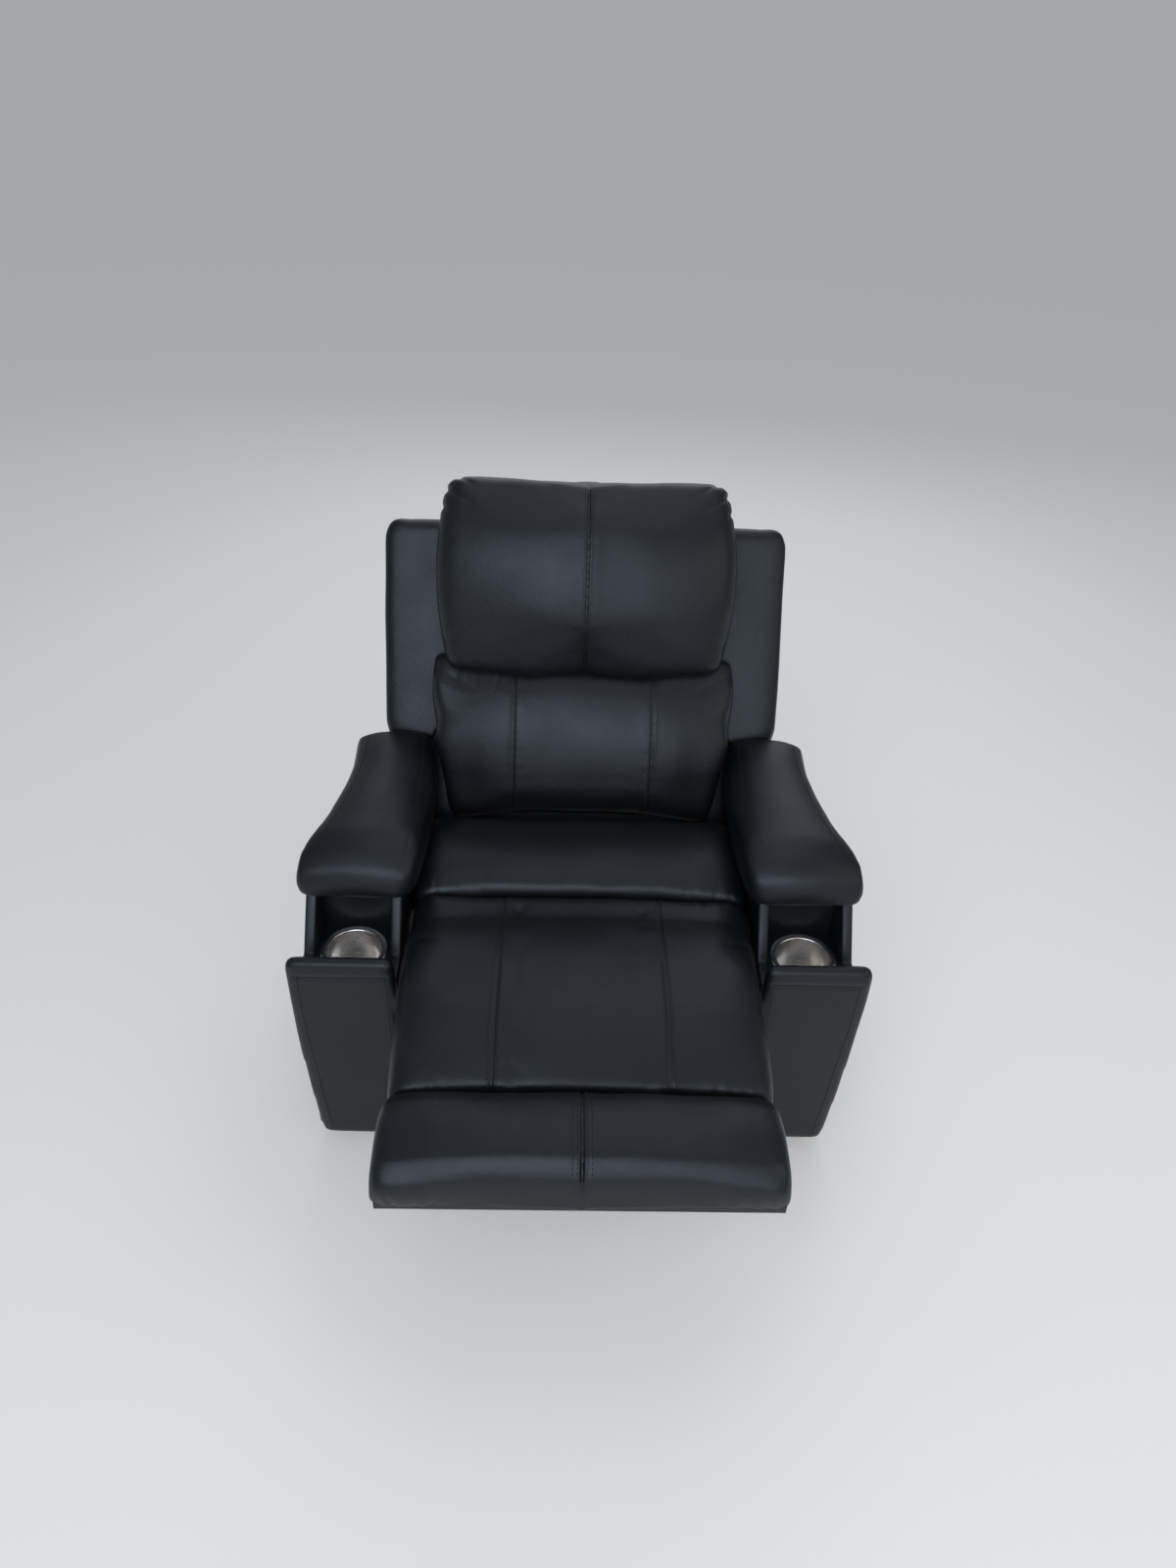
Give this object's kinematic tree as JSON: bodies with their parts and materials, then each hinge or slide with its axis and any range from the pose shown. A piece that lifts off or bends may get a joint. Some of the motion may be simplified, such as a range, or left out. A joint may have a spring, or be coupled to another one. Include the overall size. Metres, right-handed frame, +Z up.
{
  "type": "power recliner",
  "caption": "Padded power recliner with a wing back, head pillow, lumbar cushion, cup holder arms and a leg rest on a scissor linkage.",
  "frame": {"origin": "on the floor, under the middle of the chair's width and depth with the leg rest out", "axes": "+Z up, -Y is the front, +X is the right as seen from the front"},
  "size_m": [0.983, 1.2007, 1.0768],
  "materials": {
    "leather": "satin grained polyurethane leather, black",
    "wood": "plain plywood and sawn timber",
    "black_cloth": "black cambric wrapped over sawn timber",
    "mechanism_steel": "black powder coat",
    "stainless": "brushed stainless steel",
    "black_plastic": "moulded black ABS",
    "nylon": "moulded natural nylon",
    "zinc": "zinc plated steel",
    "glide_plastic": "moulded black polypropylene",
    "key_plastic": "moulded ABS, half gloss"
  },
  "bodies": {
    "base": {"arm_base_boards": "wood", "arm_inner_wall_left": "leather", "arm_inner_wall_right": "leather", "arm_outer_wall_left": "leather", "arm_outer_wall_right": "leather", "arm_pad_left": "leather", "arm_pad_right": "leather", "arm_rear_walls": "leather", "arm_top_boards": "wood", "back_actuator_rail": "mechanism_steel", "back_motor": "black_plastic", "back_pivot_pins": "zinc", "chaise_pad": "leather", "control_box": "black_plastic", "cross_tubes": "mechanism_steel", "cup_block_left": "leather", "cup_block_right": "leather", "cup_holder_left": "stainless", "cup_holder_right": "stainless", "floor_glides": "glide_plastic", "front_panel_left": "leather", "front_panel_right": "leather", "front_rail": "wood", "leg_actuator_rail": "mechanism_steel", "leg_motor": "black_plastic", "mechanism_plate_left": "mechanism_steel", "mechanism_plate_right": "mechanism_steel", "plate_bolts": "zinc", "power_inlet": "black_plastic", "rear_rail": "wood", "seat_cushion": "leather", "seat_front_rail": "black_cloth", "seat_rear_rail": "black_cloth", "seat_side_rail_left": "black_cloth", "seat_side_rail_right": "black_cloth", "seat_springs": "mechanism_steel", "switch_bezel": "black_plastic", "torque_bushes": "nylon"},
    "drive_arms": {"lower_links": "mechanism_steel", "torque_tube": "mechanism_steel", "leg_crank": "mechanism_steel"},
    "reach_arms": {"front_links": "mechanism_steel"},
    "cross_arms": {"cross_links": "mechanism_steel"},
    "half_arms": {"half_links": "mechanism_steel"},
    "footrest": {"footrest_board": "leather", "footrest_pad": "leather", "footrest_brackets": "mechanism_steel"},
    "leg_slider": {"leg_carriage": "nylon"},
    "back": {"wing_shell": "leather", "back_board": "wood", "rear_cover": "leather", "lumbar_cushion": "leather", "head_pillow": "leather", "back_brackets": "mechanism_steel", "back_tube": "mechanism_steel", "back_lever": "mechanism_steel"},
    "back_slider": {"back_carriage": "nylon"},
    "close_key": {"close_button": "key_plastic"},
    "open_key": {"open_button": "key_plastic"}
  },
  "joints": [
    {"name": "footrest_extend", "type": "hinge", "parent": "base", "child": "drive_arms", "pos_m": [0, 0.096, 0.352], "axis": [1, 0, 0], "range_deg": [0, 55], "deforming": ["chaise_pad"]},
    {"name": "reach_pivot", "type": "hinge", "parent": "drive_arms", "child": "reach_arms", "pos_m": [0, -0.15889, 0.26918], "axis": [1, 0, 0], "range_deg": [-110, 0]},
    {"name": "cross_pivot", "type": "hinge", "parent": "drive_arms", "child": "cross_arms", "pos_m": [0, -0.03145, 0.31059], "axis": [1, 0, 0], "range_deg": [-110, 0]},
    {"name": "half_pivot", "type": "hinge", "parent": "reach_arms", "child": "half_arms", "pos_m": [0, -0.28633, 0.31059], "axis": [1, 0, 0], "range_deg": [0, 110]},
    {"name": "footrest_tilt", "type": "hinge", "parent": "reach_arms", "child": "footrest", "pos_m": [0, -0.41377, 0.352], "axis": [1, 0, 0], "range_deg": [0, 143]},
    {"name": "leg_drive", "type": "slide", "parent": "base", "child": "leg_slider", "axis": [0, 1, 0], "range_m": [0, 0.074]},
    {"name": "back_recline", "type": "hinge", "parent": "base", "child": "back", "pos_m": [0, 0.256, 0.34], "axis": [-1, 0, 0], "range_deg": [0, 32]},
    {"name": "back_drive", "type": "slide", "parent": "base", "child": "back_slider", "axis": [0, -1, 0], "range_m": [0, 0.0497]},
    {"name": "close_press", "type": "slide", "parent": "base", "child": "close_key", "axis": [-0.9975, -0.0712, 0], "range_m": [0, 0.002], "stiffness_N_per_m": 500},
    {"name": "open_press", "type": "slide", "parent": "base", "child": "open_key", "axis": [-0.9975, -0.0712, 0], "range_m": [0, 0.002], "stiffness_N_per_m": 500}
  ],
  "couplings": [
    {"joint": "reach_pivot", "follows": "footrest_extend", "ratio": -2},
    {"joint": "cross_pivot", "follows": "footrest_extend", "ratio": -2},
    {"joint": "half_pivot", "follows": "footrest_extend", "ratio": 2},
    {"joint": "footrest_tilt", "follows": "footrest_extend", "ratio": 2.6},
    {"joint": "leg_drive", "follows": "footrest_extend", "m_per_rad": 0.076964},
    {"joint": "back_drive", "follows": "back_recline", "m_per_rad": 0.088835}
  ]
}
